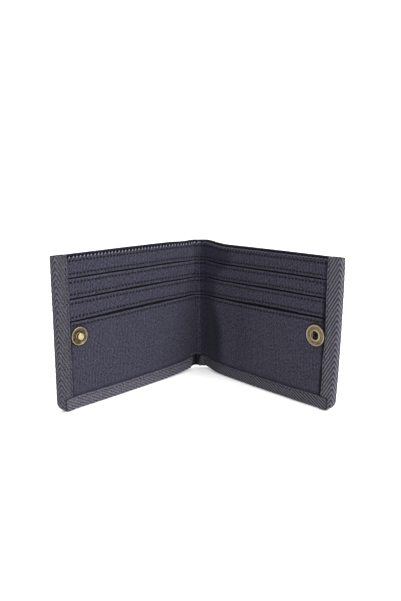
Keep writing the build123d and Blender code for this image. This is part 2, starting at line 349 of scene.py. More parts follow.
def canvas(name, col, rib=1.04, weft=0.52, pitch=2.5, row=1.9, holes=True, sheen=0.08, contrast=1.0):
    """Ribbed cloth. cloth.x runs along the half, cloth.y up it, cloth.z is the distance from the nearest folded edge."""
    k = Nodes(name)
    a = k.attr("cloth")
    u, v, e = k.sep(a.outputs["Vector"])
    # slow wander of the yarns, so the ribs are never ruler straight
    drift = k.noise(k.comb(k.math("MULTIPLY", u, 0.10), k.math("MULTIPLY", v, 0.045)), 1.0, 2.0)
    uu = k.math("ADD", u, k.math("MULTIPLY", drift, 0.9))
    ribs = k.math("MULTIPLY_ADD", k.math("SINE", k.math("MULTIPLY", uu, TAU / rib)), 0.5, 0.5)
    # the ribs run in pairs, one of each pair drawn tighter
    pair = k.math("MULTIPLY_ADD", k.math("SINE", k.math("MULTIPLY", uu, TAU / (2.05 * rib))), 0.5, 0.5)
    # the weft shows between ribs, half a thread up in every second rib
    half = k.math("MULTIPLY", k.math("SIGN", k.math("SINE", k.math("MULTIPLY", uu, TAU / (2 * rib)))), 0.25)
    wefts = k.math("MULTIPLY_ADD", k.math("SINE", k.math("MULTIPLY", k.math("ADD", k.math("DIVIDE", v, weft), half), TAU)), 0.5, 0.5)
    fibre = k.noise(k.comb(k.math("MULTIPLY", u, 7.0), k.math("MULTIPLY", v, 3.5), e), 1.0, 3.0, 0.7)
    grain = k.noise(k.comb(k.math("MULTIPLY", u, 1.30), k.math("MULTIPLY", v, 0.80)), 1.0, 2.0, 0.6)
    slub = k.noise(k.comb(k.math("MULTIPLY", u, 1.1), k.math("MULTIPLY", v, 0.16)), 1.0, 2.0, 0.6)
    cloud = k.noise(k.comb(k.math("MULTIPLY", u, 0.11), k.math("MULTIPLY", v, 0.13)), 1.0, 3.0, 0.6)
    height = k.math("ADD", k.math("MULTIPLY", ribs, 0.66), k.math("ADD", k.math("MULTIPLY", wefts, 0.14), k.math("MULTIPLY", fibre, 0.36)))
    tone = k.maprange(height, 0.20, 1.0, 1.0 - 0.50 * contrast, 1.0 + 0.48 * contrast)
    tone = k.math("ADD", tone, k.maprange(pair, 0.0, 1.0, -0.07 * contrast, 0.07 * contrast))
    tone = k.math("ADD", tone, k.maprange(grain, 0.30, 0.70, -0.70 * contrast, 0.70 * contrast))
    mottle = k.noise(k.comb(k.math("MULTIPLY", u, 0.75), k.math("MULTIPLY", v, 0.62), 3.0), 1.0, 2.0, 0.6)
    tone = k.math("ADD", tone, k.maprange(mottle, 0.30, 0.70, -0.22 * contrast, 0.22 * contrast))
    tone = k.math("ADD", tone, k.maprange(slub, 0.30, 0.70, -0.08 * contrast, 0.08 * contrast))
    tone = k.math("ADD", tone, k.maprange(cloud, 0.30, 0.70, -0.06, 0.06))
    if holes:
        # painted shade in the needle holes and along the pucker between them, a fixed way in from each folded edge
        d = k.math("ABSOLUTE", k.math("SUBTRACT", e, row))
        band = k.maprange(d, 0.28, 0.72, 1.0, 0.0, True)
        near = k.math("ABSOLUTE", k.math("SUBTRACT", k.math("FRACT", k.math("DIVIDE", u, pitch)), 0.5))
        # painted shade: the cloth is darkened along each stitch, where it is drawn down, and swells between them
        hole = k.math("MULTIPLY", band, k.maprange(near, 0.25, 0.33, 1.0, 0.0, True))
        tone = k.math("MULTIPLY", tone, k.maprange(hole, 0.0, 1.0, 1.12, 0.05))
        # painted shade along the whole stitch row
        line = k.maprange(d, 0.15, 0.9, 1.0, 0.0, True)
        tone = k.math("MULTIPLY", tone, k.maprange(line, 0.0, 1.0, 1.0, 0.90))
        # the cloth is a little paler within about a millimetre of each folded edge
        pale_edge = k.maprange(e, 0.1, 1.2, 1.0, 0.0, True)
        tone = k.math("MULTIPLY", tone, k.maprange(pale_edge, 0.0, 1.0, 1.0, 1.30))
    # painted shade: the 'shade' attribute set on the mesh darkens the cloth
    tone = k.math("MAXIMUM", k.math("MULTIPLY", tone, k.math("SUBTRACT", 1.0, k.attr("shade").outputs["Fac"])), 0.01)
    base = k.mix(k.maprange(cloud, 0.3, 0.7, 0.0, 1.0), col, tuple(c * f for c, f in zip(col[:3], (0.97, 1.0, 1.05))) + (1.0,))
    # painted shade also turns the cloth bluer where it is dark
    base = k.mix(k.maprange(k.attr("shade").outputs["Fac"], 0.1, 0.8, 0.0, 1.0), base, tuple(c * f for c, f in zip(col[:3], (0.90, 0.92, 1.30))) + (1.0,))
    k.link(k.scale_color(base, tone), k.p.inputs["Base Color"])
    k.p.inputs["Roughness"].default_value = 0.88
    k.p.inputs["Specular IOR Level"].default_value = 0.12
    k.p.inputs["Sheen Weight"].default_value = sheen
    k.p.inputs["Sheen Roughness"].default_value = 0.45
    k.p.inputs["Sheen Tint"].default_value = (0.75, 0.75, 0.9, 1)
    k.bump(height, 0.8, 0.00022)
    return k.m


STROKE, SLOPE, RIDGE, SELV = 3.30, 1.75, 8.4, 0.9


def herringbone(name, col, sheen=0.10):
    """Twill tape. cloth.x runs in from the free edge, cloth.y along the tape; the same strokes are raised in the mesh."""
    k = Nodes(name)
    a = k.attr("cloth")
    w, y, e = k.sep(a.outputs["Vector"])
    drift = k.noise(k.comb(k.math("MULTIPLY", w, 0.20), k.math("MULTIPLY", y, 0.16), e), 1.0, 2.0)
    away = k.math("ABSOLUTE", k.math("SUBTRACT", w, RIDGE))
    ph = k.math("DIVIDE", k.math("MULTIPLY_ADD", away, SLOPE, k.math("MULTIPLY_ADD", drift, 0.7, y)), STROKE)
    stroke = k.math("MULTIPLY_ADD", k.math("COSINE", k.math("MULTIPLY", ph, TAU)), 0.5, 0.5)
    stroke = k.math("POWER", stroke, 0.72)
    # each stroke is several yarns side by side
    yarn = k.math("MULTIPLY_ADD", k.math("COSINE", k.math("MULTIPLY", ph, TAU * 3)), 0.5, 0.5)
    lay = k.math("MULTIPLY_ADD", k.math("SINE", k.math("MULTIPLY", k.math("MULTIPLY_ADD", away, 1.0, k.math("MULTIPLY", y, -0.7)), TAU / 0.62)), 0.5, 0.5)
    fibre = k.noise(k.comb(k.math("MULTIPLY", w, 4.0), k.math("MULTIPLY", y, 4.0), e), 1.0, 3.0, 0.7)
    body = k.maprange(w, SELV - 0.3, SELV + 0.4, 0.0, 1.0, True)
    plain = k.math("MULTIPLY_ADD", k.math("SINE", k.math("MULTIPLY", k.math("ADD", y, k.math("MULTIPLY", w, 0.4)), TAU / 0.75)), 0.5, 0.5)
    plain = k.math("MULTIPLY_ADD", plain, 0.30, 0.38)
    tw = k.math("ADD", k.math("MULTIPLY", stroke, 0.54), k.math("ADD", k.math("MULTIPLY", yarn, 0.32), k.math("MULTIPLY", lay, 0.14)))
    height = k.math("ADD", k.math("MULTIPLY", tw, body), k.math("MULTIPLY", plain, k.math("SUBTRACT", 1.0, body)))
    hgt = k.math("MULTIPLY_ADD", fibre, 0.22, height)
    patch = k.noise(k.comb(k.math("MULTIPLY", w, 0.45), k.math("MULTIPLY", y, 0.22), e), 1.0, 3.0, 0.65)
    speck = k.noise(k.comb(k.math("MULTIPLY", w, 1.25), k.math("MULTIPLY", y, 1.25), e), 1.0, 1.0, 0.5)
    # the left half's tape is the more worn and fuzzy of the two
    worn = k.math("ADD", k.math("LESS_THAN", e, 0.0), k.math("LESS_THAN", k.math("ABSOLUTE", k.math("SUBTRACT", e, 2.0)), 0.5))
    crisp = k.maprange(hgt, 0.26, 1.02, 0.0, 2.0)
    rubbed = k.math("MULTIPLY", worn, k.maprange(w, 3.5, 8.5, 0.95, 0.50, True))
    crisp = k.math("MULTIPLY_ADD", k.math("SUBTRACT", crisp, 1.0), k.math("MULTIPLY_ADD", rubbed, -1.15, 1.62), 1.02)
    tone = k.math("ADD", crisp, k.maprange(patch, 0.3, 0.7, -0.16, 0.16))
    tone = k.math("MULTIPLY_ADD", k.maprange(speck, 0.3, 0.7, -0.40, 0.40), k.math("MULTIPLY_ADD", worn, 0.9, 0.8), tone)
    # stitch row and the needle holes, darkened as painted shade
    d = k.math("ABSOLUTE", k.math("SUBTRACT", w, 1.75))
    near = k.math("ABSOLUTE", k.math("SUBTRACT", k.math("FRACT", k.math("DIVIDE", y, 2.7)), 0.5))
    hole = k.math("MULTIPLY", k.maprange(d, 0.22, 0.5, 1.0, 0.0, True), k.maprange(near, 0.38, 0.47, 0.0, 1.0, True))
    tone = k.math("MULTIPLY", tone, k.maprange(hole, 0.0, 1.0, 1.0, 0.65))
    # painted shade from the 'shade' attribute set on the mesh
    tone = k.math("MAXIMUM", k.math("MULTIPLY", tone, k.math("SUBTRACT", 1.0, k.attr("shade").outputs["Fac"])), 0.01)
    base = k.mix(k.maprange(patch, 0.3, 0.7, 0.0, 1.0), col, tuple(c * f for c, f in zip(col[:3], (1.05, 1.0, 0.97))) + (1.0,))
    k.link(k.scale_color(base, tone), k.p.inputs["Base Color"])
    k.p.inputs["Roughness"].default_value = 0.86
    k.p.inputs["Specular IOR Level"].default_value = 0.15
    k.p.inputs["Sheen Weight"].default_value = sheen
    k.p.inputs["Sheen Roughness"].default_value = 0.4
    k.p.inputs["Sheen Tint"].default_value = (0.8, 0.8, 0.92, 1)
    k.bump(hgt, 0.8, 0.00030)
    return k.m


def thread(name, col, sheen=0.15, spec=0.3):
    """Twisted sewing thread. cloth.x runs along the stitch, cloth.y round it."""
    k = Nodes(name)
    a = k.attr("cloth")
    x, y, e = k.sep(a.outputs["Vector"])
    tw = k.math("MULTIPLY_ADD", k.math("SINE", k.math("MULTIPLY", k.math("MULTIPLY_ADD", x, 2.4, y), TAU)), 0.5, 0.5)
    fib = k.noise(k.comb(k.math("MULTIPLY", x, 8.0), k.math("MULTIPLY", y, 8.0), e), 1.0, 2.0)
    tone = k.math("MULTIPLY_ADD", tw, 0.45, k.math("MULTIPLY_ADD", fib, 0.5, 0.55))
    k.link(k.scale_color(col, tone), k.p.inputs["Base Color"])
    k.p.inputs["Roughness"].default_value = 0.65
    k.p.inputs["Specular IOR Level"].default_value = spec
    k.p.inputs["Sheen Weight"].default_value = sheen
    k.bump(tw, 0.6, 0.00006)
    return k.m


def metal(name, centre, axis_in, bright, dark, stain, rings, rough=0.34):
    """Antique plating: paler where it is rubbed, darker in the hollows, by distance from the snap's axis and by noise."""
    k = Nodes(name)
    tc = k.node("ShaderNodeTexCoord").outputs["Object"]
    off = k.node("ShaderNodeVectorMath", operation="SUBTRACT")
    k.link(tc, off.inputs[0])
    off.inputs[1].default_value = centre
    dot = k.node("ShaderNodeVectorMath", operation="DOT_PRODUCT")
    k.link(off.outputs[0], dot.inputs[0])
    dot.inputs[1].default_value = axis_in
    ln = k.node("ShaderNodeVectorMath", operation="LENGTH")
    k.link(off.outputs[0], ln.inputs[0])
    r2 = k.math("SUBTRACT", k.math("POWER", ln.outputs["Value"], 2.0), k.math("POWER", dot.outputs["Value"], 2.0))
    r = k.math("MULTIPLY", k.math("SQRT", k.math("MAXIMUM", r2, 0.0)), 1000.0)
    ramp = k.node("ShaderNodeValToRGB")
    el = ramp.color_ramp.elements
    pts = rings
    el[0].position = pts[0][0]
    el[0].color = (pts[0][1],) * 3 + (1,)
    el[1].position = pts[-1][0]
    el[1].color = (pts[-1][1],) * 3 + (1,)
    for p, v in pts[1:-1]:
        x = el.new(p)
        x.color = (v, v, v, 1)
    k.link(k.math("DIVIDE", r, 7.0), ramp.inputs[0])
    sc = k.node("ShaderNodeVectorMath", operation="SCALE")
    k.link(off.outputs[0], sc.inputs[0])
    sc.inputs["Scale"].default_value = 1000.0
    n1 = k.noise(sc.outputs[0], 0.55, 4.0, 0.65)
    n2 = k.noise(sc.outputs[0], 3.2, 3.0, 0.7)
    f = k.math("ADD", ramp.outputs["Color"], k.math("ADD", k.maprange(n1, 0.3, 0.7, -0.24, 0.24), k.maprange(n2, 0.3, 0.7, -0.22, 0.22)), clamp=True)
    c1 = k.mix(f, dark, bright)
    c2 = k.mix(k.maprange(n1, 0.52, 0.70, 0.0, 0.55, True), c1, stain)
    k.link(c2, k.p.inputs["Base Color"])
    k.p.inputs["Metallic"].default_value = 1.0
    k.link(k.maprange(f, 0.0, 1.0, rough + 0.22, rough), k.p.inputs["Roughness"])
    k.bump(n2, 0.25, 0.00005)
    return k.m


POCKET = srgb(43.6, 42.0, 52.4)
mat_pocket = canvas("pocket_canvas", POCKET)
mat_shell = canvas("shell_canvas", srgb(50, 48, 59), holes=False)
mat_lining = canvas("lining_cloth", srgb(26, 25, 32), rib=0.5, weft=0.5, holes=False, sheen=0.04)
mat_tape = herringbone("herringbone_tape", srgb(66, 65, 74))
# the sewing thread is coloured near black, as painted shade for the dark needle holes along each row
mat_thread = thread("sewing_thread", srgb(13, 12, 17), sheen=0.0, spec=0.08)
# two copies of one edge thread, pale and dark: the dark copy is painted shade, used on the right half
mat_light_thread = thread("edge_thread", srgb(92, 94, 108))
mat_dim_thread = thread("edge_thread_shaded", srgb(44, 45, 55))


def steel(name):
    k = Nodes(name)
    tc = k.node("ShaderNodeTexCoord").outputs["Object"]
    n = k.noise(tc, 2500.0, 3.0, 0.6)
    k.link(k.mix(n, (0.10, 0.095, 0.08, 1), (0.26, 0.25, 0.22, 1)), k.p.inputs["Base Color"])
    k.p.inputs["Metallic"].default_value = 1.0
    k.link(k.maprange(n, 0.3, 0.7, 0.28, 0.45), k.p.inputs["Roughness"])
    return k.m


def stiffener(name):
    k = Nodes(name)
    tc = k.node("ShaderNodeTexCoord").outputs["Object"]
    n = k.noise(tc, 900.0, 4.0, 0.7)
    k.link(k.mix(n, (0.035, 0.034, 0.038, 1), (0.065, 0.063, 0.068, 1)), k.p.inputs["Base Color"])
    k.p.inputs["Roughness"].default_value = 0.9
    k.bump(n, 0.5, 0.0002)
    return k.m


mat_felt = stiffener("interlining_nonwoven")


# ------------------------------------------------------------------ cloth strips with folded edges
A_TOP, B_TOP, C_TOP, D_TOP = 88.0, 76.4, 65.2, 53.1
SLOT = {"A": (B_TOP, 0.9), "B": (C_TOP, 0.95), "C": (D_TOP, 1.15)}      # mouth height, widest gap above it


def mouth(side, name, q):
    """Width of the dark gap above a pocket's edge, along the half."""
    u = u_of_q(np.asarray(q, float))
    base = {"A": (0.72, 0.96), "B": (0.72, 1.08), "C": (0.76, 1.50)}[name]
    peak = {"A": 62, "B": 66, "C": 60}[name] + (4 if side > 0 else -6)
    g = base[0] + (base[1] - base[0]) * bump(u, peak, 34)
    g = g * (1 + 0.12 * wob(3 + ord(name[0]) + side, u, 9.0))
    g = np.where(u < 4, g * 0.75, g)
    return np.maximum(g, 0.3)


def strip(name, side, q_end, n_front, n_back, z_top, z_low, lip=None, top_roll=False, n_low_front=None, n_low_back=None, amount=1.0):
    """A folded strip of pocket cloth swept from the middle of the spine to under the side tape."""
    qs = stations(q_end)
    if name[0] == "D":
        qa, qb = q_of_u(SNAP_U - 9.0), q_of_u(SNAP_U + 9.0)
        qs = np.r_[qs[qs < qa], np.arange(qa, qb, 0.55), qs[qs > qb]]
    rows_c, rows_a, rows_s = [], [], []
    r = (n_front - n_back) / 2
    for q in qs:
        u = float(u_of_q(q))
        top = z_top + 0.10 * float(wob(11 + ord(name[0]), u, 14.0)) * float(step(3, 9, u))
        pts = []      # z, n, e
        if lip is not None:
            zl = lip[0] + float(mouth(side, lip[1], q))
            pts += [(z_low, n_low_front, 50.0), (z_low + 0.3 * (zl - z_low), n_low_front, 50.0), (z_low + 0.7 * (zl - z_low), n_low_front, 50.0), (zl - 0.5, n_low_front, 50.0)]
            pts += [(zl - 0.02, n_low_front + 0.02, 0.0), (zl - 0.04, n_front - 0.30, 0.0), (zl + 0.02, n_front - 0.14, 0.05), (zl + 0.12, n_front - 0.03, 0.15), (zl + 0.30, n_front + 0.02, 0.3)]
            base = zl
            ds = [0.6, 0.95, 1.3, 1.6, 1.75, 1.9, 2.05, 2.2, 2.5, 2.9]
            for d in ds:
                pts.append((base + d, n_front, d))
            z_from = base + 2.9
        else:
            pts += [(z_low, n_front - 0.1, 50.0), (z_low + 3, n_front, 50.0)]
            z_from = z_low + 3
        z_to = top - 2.9
        nominal = z_top - 2.9 - (lip[0] + 3.7 if lip is not None else z_low + 3)
        mid = max(1, int(round(nominal / 3.0)))
        levels = [z_from + (z_to - z_from) * i / mid for i in range(1, mid)]
        if name[0] == "D":
            levels = [v for v in levels if v < SNAP_Z - 7.6] + list(np.arange(SNAP_Z - 7.2, z_top - 3.3, 0.6))
        for z in levels:
            e = min(z - (z_from - 2.9) if lip is not None else 50.0, top - z)
            pts.append((z, n_front, e))
        for d in (2.9, 2.5, 2.2, 2.05, 1.9, 1.75, 1.6, 1.3, 0.95, 0.6):
            pts.append((top - d, n_front, d))
        k = 6
        front_end = len(pts) + 5
        for i in range(k + 1):
            a = math.pi * i / k
            pts.append((top - r + r * math.sin(a) * 1.0, (n_front + n_back) / 2 + r * math.cos(a), 0.25 * (1 - math.sin(a))))
        zb = top - 2.0
        lo_b = n_back if n_low_back is None else n_low_back
        pts += [(zb, n_back, 50.0)]
        if lip is not None:
            pts += [(lip[0] + 1.2, n_back, 50.0), (lip[0] + 0.2, lo_b, 50.0)]
        pts += [(z_low + 0.5 * ((lip[0] if lip else top) - z_low) * 0.8, lo_b, 50.0), (z_low, lo_b, 50.0)]
        z = np.array([p[0] for p in pts])
        n = np.array([p[1] for p in pts])
        e = np.array([p[2] for p in pts])
        front = np.zeros(len(pts))
        front[e < 40] = 1
        back_at = len(pts) - (4 if lip is not None else 3)
        front[back_at:] = 0
        puff = 0.13 * bump(e, 0.95, 0.55) - 0.15 * bump(e, 1.9, 0.26) + 0.04 * bump(e, 2.9, 0.5)
        puff = puff * front * (1 + 0.25 * math.sin(q * TAU / 2.5))
        n = n + puff
        # the folded edge of the mouth stands a little open
        openness = {"A": 0.0, "B": 0.35, "C": 0.35, "D": 0.60}[name[0]]
        lift = openness * float(bump(u, 58, 32)) * np.clip(1 - (top - z) / 9.0, 0, 1) ** 1.5
        n = n + lift * (z > top - 9.0)
        n = n + 0.10 * wob(17 + side, u, 22.0) * front
        snap_away = np.hypot(draw_in(side, u, z) - SNAP_U, settle(side, q, z) - SNAP_Z)
        if name[0] == "D":
            # pressed flat under the snap
            flat = (1 - step(5.9, 8.2, snap_away)) * front
            n = n + (3.42 - n) * flat
        nn = inner(side, q, z, n, amount)
        x, y = path(side, q_of_u(draw_in(side, np.full(len(pts), u), z)), nn)
        rows_c.append(np.stack([x, y, settle(side, q, z)], -1) * MM)
        rows_a.append(np.stack([np.full(len(pts), side * q), z, e], -1))
        sx = side * q
        low = 1 - step(7.6, 11.5, z)
        # painted shade where the cloth is pinched at the spine, low down
        dark = 0.72 * np.clip(tuck(side, q, z) * low, 0, 1)
        # painted shade: a dark line along the fold itself, and the strip of the spine that lies in its shadow
        dark = dark + 0.62 * bump(sx, -3.9, 0.55) * (1 - low) + (0.28 + 0.14 * step(-1.5, 3, sx) + 0.10 * step(60, 80, z) * (1 - step(-1.0, 2.0, sx))) * step(-3.6, -2.4, sx) * (1 - step(5.0, 9.0, sx)) * (1 - low)
        # shadow in the corner beside the tapes
        dark = np.maximum(dark, (0.62 if side < 0 else 0.93) * step(OUT_U - TAPE_FRONT - (1.3 if side < 0 else 2.1), OUT_U - TAPE_FRONT - (0.5 if side < 0 else 1.2), u + 0.35 * wob(31 + side, z, 6.5)))
        # painted shadow along the lower pocket's bottom edge, where it meets the bottom tape
        if name[0] == "D":
            dark = np.maximum(dark, 0.86 * (1 - step(TAPE_BOTTOM + 0.35, TAPE_BOTTOM + 1.25, z + 0.25 * wob(29 + side, u, 8.0) - 0.85 * float(bump(u, 0, 15)))))
        if side > 0:
            # painted shade on the right half: a dark band beside the spine, a fainter band further out, and a little
            # over the whole half
            reach = 19.5 - 7.0 * step(30, 52, z) + 13.0 * step(66, 80, z)
            near = step(1.0, 6.0, u) * (1 - step(reach - 4.0, reach + 4.5, u)) * (0.72 + 0.36 * step(4, 20, z) * (1 - step(44, 56, z)) - 0.04 * step(56, 76, z))
            second = float(bump(u, 41.0, 7.0)) * (0.4 + 0.6 * step(6, 30, z)) * (1 - 0.6 * step(46, 60, z))
            dark = dark + 0.66 * near * (1 - np.clip(dark, 0, 1)) + 0.14 * second + 0.06
        else:
            # painted shade on the left half a little way out from the spine, and a painted highlight just beside the
            # fold
            dark = dark + 0.04 * float(bump(u, 14.0, 9.0)) - 0.30 * float(bump(u, -0.6, 3.2)) * (1 - low)
        # the cloth deep inside a mouth hardly sees the light
        hidden = (e > 40) & (z < (lip[0] + 0.9 if lip else -1))
        if lip is not None:
            hidden[:6] = True
        hidden[front_end:] = True
        dark = np.where(hidden, 0.97, dark)
        if name[0] == "A":
            # painted shade along the very top edge of the facing
            dark = np.where((top - z < 0.75) & ~hidden, 0.55, dark)
        if name[0] == "D":
            # painted shade on the cloth under the snap, and a painted shadow ring round it
            dark = np.maximum(dark, 0.95 * (1 - step(4.6, 5.2, snap_away)))
            dark = np.maximum(dark, 0.62 * (1 - step(5.4 if side < 0 else 6.2, 7.0 if side < 0 else 7.8, snap_away)))
        rows_s.append(np.clip(dark, -0.3, 0.97))
    verts = np.array(rows_c)
    ob = finish_mesh(name + ("_left" if side < 0 else "_right"), verts, loop_faces(len(qs), verts.shape[1]), np.array(rows_a), np.array(rows_s), 60)
    ob.data.materials.append(mat_pocket)
    return ob


Q_IN = q_of_u(106.5)


def blend(ob, side):
    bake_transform(ob)


halves = {-1: "left", 1: "right"}
pieces = {}
for side, word in halves.items():
    A = strip("A_facing", side, Q_IN, 2.62, 2.00, A_TOP, 69.5, (B_TOP, "A"), n_low_front=2.28, n_low_back=1.98, amount=0.35)
    B = strip("B_pocket_upper", side, Q_IN, 3.02, 2.40, B_TOP, 31.0, (C_TOP, "B"), n_low_front=2.66, n_low_back=2.34, amount=0.6)
    Cc = strip("C_pocket_middle", side, Q_IN, 3.42, 2.80, C_TOP, 20.0, (D_TOP, "C"), n_low_front=3.04, n_low_back=2.72, amount=0.8)
    D = strip("D_pocket_lower", side, Q_IN, 3.80, 3.16, D_TOP, 1.0, None, amount=1.0)
    for ob, stem in ((A, "top_facing"), (B, "card_pocket_upper"), (Cc, "card_pocket_middle"), (D, "card_pocket_lower")):
        ob.name = ob.data.name = stem + "_cloth_" + word
        names = [stem + "_" + word] + ([stem + "_spine"] if side < 0 else [])
        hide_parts(*names)
        blend(ob, side)
        pieces[stem, side] = ob


# ------------------------------------------------------------------ divider, lining and outer shell
def sheet_sweep(name, side, q_end, prof, mat, depth_fn, shade_fn=None, sharp=60):
    qs = stations(q_end)
    rows_c, rows_a, rows_s = [], [], []
    for q in qs:
        pts = prof(q)
        z = np.array([p[0] for p in pts])
        n = np.array([p[1] for p in pts])
        n = depth_fn(q, z, n)
        zz = corner(q, z)
        x, y = path(side, q_of_u(draw_in(side, np.full(len(pts), u_of_q(q)), zz)), n)
        rows_c.append(np.stack([x, y, settle(side, q, zz)], -1) * MM)
        rows_a.append(np.stack([np.full(len(pts), side * q), zz, np.full(len(pts), 50.0)], -1))
        rows_s.append(np.zeros(len(pts)) if shade_fn is None else shade_fn(q, z, n))
    verts = np.array(rows_c)
    ob = finish_mesh(name, verts, loop_faces(len(qs), verts.shape[1]), np.array(rows_a), np.array(rows_s), sharp)
    ob.data.materials.append(mat)
    return ob


def corner(q, z, r=6.3, edge=EDGE_U - 0.1):
    """Lifts the lower edge along the rounded outer corner."""
    u = float(u_of_q(q))
    z = np.asarray(z, float)
    if u <= edge - r:
        return z
    x = min(u - (edge - r), r)
    low = r - math.sqrt(max(r * r - x * x, 0.0)) + 0.5
    return np.maximum(z, low)


def hem_profile(q):
    """Outer shell with its top turned in: up the outside, over the fold and 9 mm down the inside."""
    pts = [(0.6, 0.0)]
    for z in np.arange(5, 86, 4.0):
        pts.append((z, 0.0))
    pts += [(88.0, -0.02), (88.9, 0.0)]
    r = 0.62
    for i in range(1, 8):
        a = math.pi * i / 8
        pts.append((H - r + r * math.sin(a), r - r * math.cos(a)))
    pts += [(88.6, 1.26), (85.0, 1.27), (81.2, 1.27), (80.9, 1.15), (80.85, 0.72)]
    for z in np.arange(76, 4, -6.0):
        pts.append((z, 0.70))
    pts += [(0.6, 0.70)]
    return pts


def lining_profile(q):
    pts = [(0.6, 0.98)]
    for z in np.arange(6, 80, 5.0):
        pts.append((z, 0.98))
    pts += [(80.6, 0.98), (80.75, 1.06), (80.6, 1.16)]
    for z in np.arange(76, 4, -5.0):
        pts.append((z, 1.18))
    pts += [(0.6, 1.18)]
    return pts


def interlining_profile(q):
    pts = [(0.9, 0.74)]
    for z in np.arange(6, 78, 6.0):
        pts.append((z, 0.74))
    pts += [(79.9, 0.75), (80.2, 0.84), (79.9, 0.93)]
    for z in np.arange(76, 4, -6.0):
        pts.append((z, 0.94))
    pts += [(0.9, 0.94)]
    return pts


def divider_profile(q):
    pts = [(0.7, 1.96)]
    for z in (6, 12, 20, 30, 42, 54, 64, 74, 82):
        pts.append((z, 1.96))
    pts += [(86.2, 1.94), (86.5, 1.88), (86.6, 1.78), (86.5, 1.68), (86.2, 1.62)]
    for z in (82, 74, 64, 54, 42, 30, 20, 12, 6):
        pts.append((z, 1.60))
    pts += [(0.7, 1.60)]
    return pts


hem_depths = np.array([p[1] for p in hem_profile(0.0)])
for side, word in halves.items():
    q_edge = q_of_u(EDGE_U - 0.25)

    def shell_depth(q, z, n, side=side):
        t = tuck(side, q, z)
        fold = 0.25 * wob(24, np.asarray(z, float), 13.0) * bump(q, QA + 0.5 * ARC, 2.6)
        wave = 0.16 * wob(26 + side, u_of_q(q) + 0.35 * np.asarray(z, float), 17.0) * step(4, 20, u_of_q(q)) * (1 - step(92, 101, u_of_q(q)))
        edge = 1 - step(96, 103, u_of_q(q))
        return n * (1 - 0.35 * t) - bow(q, z) * edge + fold - 0.6 * abs(0) + wave * edge

    def inner_shade(q, z, n, side=side):
        # painted shade: the inside faces of the shell are darkened, almost black below the hem's fold and less at the
        # fold; the outside faces a little
        inside = hem_depths > 0.66
        deep = 1 - step(88.6, 89.9, np.asarray(z, float))
        return np.where(inside, 0.55 + 0.42 * deep, 0.10)

    ob = sheet_sweep("shell_cloth_" + word, side, q_edge, hem_profile, mat_shell, shell_depth, inner_shade)
    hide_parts(*(["outer_shell_" + word] + (["outer_shell_spine"] if side < 0 else [])))
    blend(ob, side)
    ob = sheet_sweep("lining_cloth_" + word, side, q_edge, lining_profile, mat_lining, shell_depth)
    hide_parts(*(["bill_lining_" + word] + (["bill_lining_spine"] if side < 0 else [])))
    blend(ob, side)

    ob = sheet_sweep("interlining_felt_" + word, side, q_edge, interlining_profile, mat_felt, shell_depth)
    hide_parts(*(["shell_interlining_" + word] + (["shell_interlining_spine"] if side < 0 else [])))
    blend(ob, side)

    def div_depth(q, z, n, side=side):
        return inner(side, q, z, n, 0.35)

    ob = sheet_sweep("divider_cloth_" + word, side, q_of_u(106.5), divider_profile, mat_lining, div_depth)
    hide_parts(*(["divider_" + word] + (["divider_spine"] if side < 0 else [])))
    blend(ob, side)


# ------------------------------------------------------------------ herringbone tape
AMP = 0.17


def stroke(w, y):
    away = np.abs(w - RIDGE)
    ph = (y + SLOPE * away) / STROKE
    h = (0.5 + 0.5 * np.cos(TAU * ph)) ** 0.62
    body = step(SELV - 0.3, SELV + 0.4, w)
    flat = 0.42 + 0.10 * np.sin(TAU * (y + 0.4 * w) / 0.75)
    row = 0.9 * bump(w, 1.75, 0.3)
    return (h * body + flat * (1 - body) - row) - 0.45


def polyline(points, every):
    """Evenly spaced points along a polyline, with distance and left-hand normals."""
    p = np.array(points, float)
    d = np.r_[0, np.cumsum(np.linalg.norm(np.diff(p, axis=0), axis=1))]
    n = max(3, int(round(d[-1] / every)) + 1)
    s = np.linspace(0, d[-1], n)
    q = np.stack([np.interp(s, d, p[:, i]) for i in range(2)], -1)
    t = np.gradient(q, s, axis=0)
    t /= np.linalg.norm(t, axis=1)[:, None]
    return s, q, np.stack([-t[:, 1], t[:, 0]], -1)


def arc(cx, cy, r, a0, a1, k=8):
    return [(cx + r * math.cos(math.radians(a0 + (a1 - a0) * i / k)), cy + r * math.sin(math.radians(a0 + (a1 - a0) * i / k))) for i in range(k + 1)]


PACK = 3.5
LAP_U = 108.3
FRONT_N = 4.18          # tape's front face
BACK_N = -0.60


